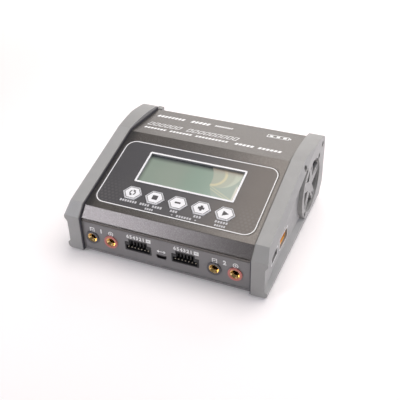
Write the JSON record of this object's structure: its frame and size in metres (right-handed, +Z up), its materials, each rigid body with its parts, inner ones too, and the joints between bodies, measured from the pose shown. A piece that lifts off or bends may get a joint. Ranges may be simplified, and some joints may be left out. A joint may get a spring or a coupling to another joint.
{
  "type": "balance battery charger",
  "caption": "Desktop two-channel balance charger for battery packs: sloping display with keys, banana and balance sockets in front, moulded end caps, cooling fan in one side.",
  "frame": {"origin": "on the ground under the middle of the charger", "axes": "+X to the right as seen from the front, +Y to the rear, +Z up"},
  "size_m": [0.15, 0.133, 0.0589],
  "materials": {
    "cap_plastic": "fine moulded texture",
    "cover_metal": "dark grey metallic, satin",
    "panel_metal": "dark grey, satin",
    "steel_sheet": "plain",
    "seal_rubber": "matte black",
    "overlay_film": "printed film",
    "white_plastic": "satin white",
    "lcd_green": "unlit grey-green display",
    "black_plastic": "satin black",
    "red_plastic": "satin red",
    "gold": "polished gold plate",
    "amber_plastic": "satin amber",
    "bright_steel": "bright plated",
    "board_green": "solder mask",
    "aluminium": "plain",
    "copper": "enamelled copper wire",
    "ferrite": "dark ferrite",
    "grey_cable": "flat cable",
    "foot_rubber": "matte black"
  },
  "bodies": {
    "case": {"balance_a_housing": "black_plastic", "balance_b_housing": "black_plastic", "balance_pins": "gold", "banana_sockets": "gold", "board_screws": "bright_steel", "board_standoffs": "aluminium", "bottom_tray": "steel_sheet", "cap_screws": "bright_steel", "control_chips": "black_plastic", "control_pcb": "board_green", "dc_input_contacts": "gold", "dc_input_housing": "amber_plastic", "display_overlay": "overlay_film", "display_pcb": "board_green", "display_ribbon": "grey_cable", "display_screws": "bright_steel", "display_standoffs": "aluminium", "fan_bearing": "copper", "fan_frame": "black_plastic", "fan_lead": "black_plastic", "fan_screws": "bright_steel", "fan_stator": "copper", "front_panel": "panel_metal", "fuse": "grey_cable", "heatsinks": "aluminium", "inlet_screws": "bright_steel", "input_pcb": "board_green", "key_switches": "black_plastic", "lcd_backlight": "white_plastic", "lcd_bezel": "white_plastic", "lcd_glass": "lcd_green", "left_end_cap": "cap_plastic", "left_seal": "seal_rubber", "mains_inlet_body": "black_plastic", "mains_inlet_pins": "bright_steel", "mains_leads": "black_plastic", "micro_usb_port": "bright_steel", "negative_bushes": "black_plastic", "output_capacitors": "black_plastic", "positive_bushes": "red_plastic", "power_pcb": "board_green", "power_transistors": "black_plastic", "rear_panel": "panel_metal", "ribbon_socket": "black_plastic", "right_end_cap": "cap_plastic", "right_seal": "seal_rubber", "rubber_feet": "foot_rubber", "storage_capacitors": "black_plastic", "top_cover": "cover_metal", "transformer_core": "ferrite", "transformer_winding": "copper", "usb_power_shell": "bright_steel", "usb_power_tongue": "white_plastic", "wound_inductors": "copper"},
    "channel_key": {"channel_key": "white_plastic"},
    "stop_key": {"stop_key": "white_plastic"},
    "minus_key": {"minus_key": "white_plastic"},
    "plus_key": {"plus_key": "white_plastic"},
    "start_key": {"start_key": "white_plastic"},
    "fan_rotor": {"fan_rotor": "black_plastic"}
  },
  "joints": [
    {"name": "channel_key_press", "type": "slide", "parent": "case", "child": "channel_key", "axis": [0, 0.2655, -0.9641], "range_m": [0, 0.0006], "stiffness_N_per_m": 600},
    {"name": "stop_key_press", "type": "slide", "parent": "case", "child": "stop_key", "axis": [0, 0.2655, -0.9641], "range_m": [0, 0.0006], "stiffness_N_per_m": 600},
    {"name": "minus_key_press", "type": "slide", "parent": "case", "child": "minus_key", "axis": [0, 0.2655, -0.9641], "range_m": [0, 0.0006], "stiffness_N_per_m": 600},
    {"name": "plus_key_press", "type": "slide", "parent": "case", "child": "plus_key", "axis": [0, 0.2655, -0.9641], "range_m": [0, 0.0006], "stiffness_N_per_m": 600},
    {"name": "start_key_press", "type": "slide", "parent": "case", "child": "start_key", "axis": [0, 0.2655, -0.9641], "range_m": [0, 0.0006], "stiffness_N_per_m": 600},
    {"name": "fan_spin", "type": "hinge", "parent": "case", "child": "fan_rotor", "pos_m": [0.0664, 0.034, 0.0275], "axis": [1, 0, 0], "continuous": true}
  ]
}
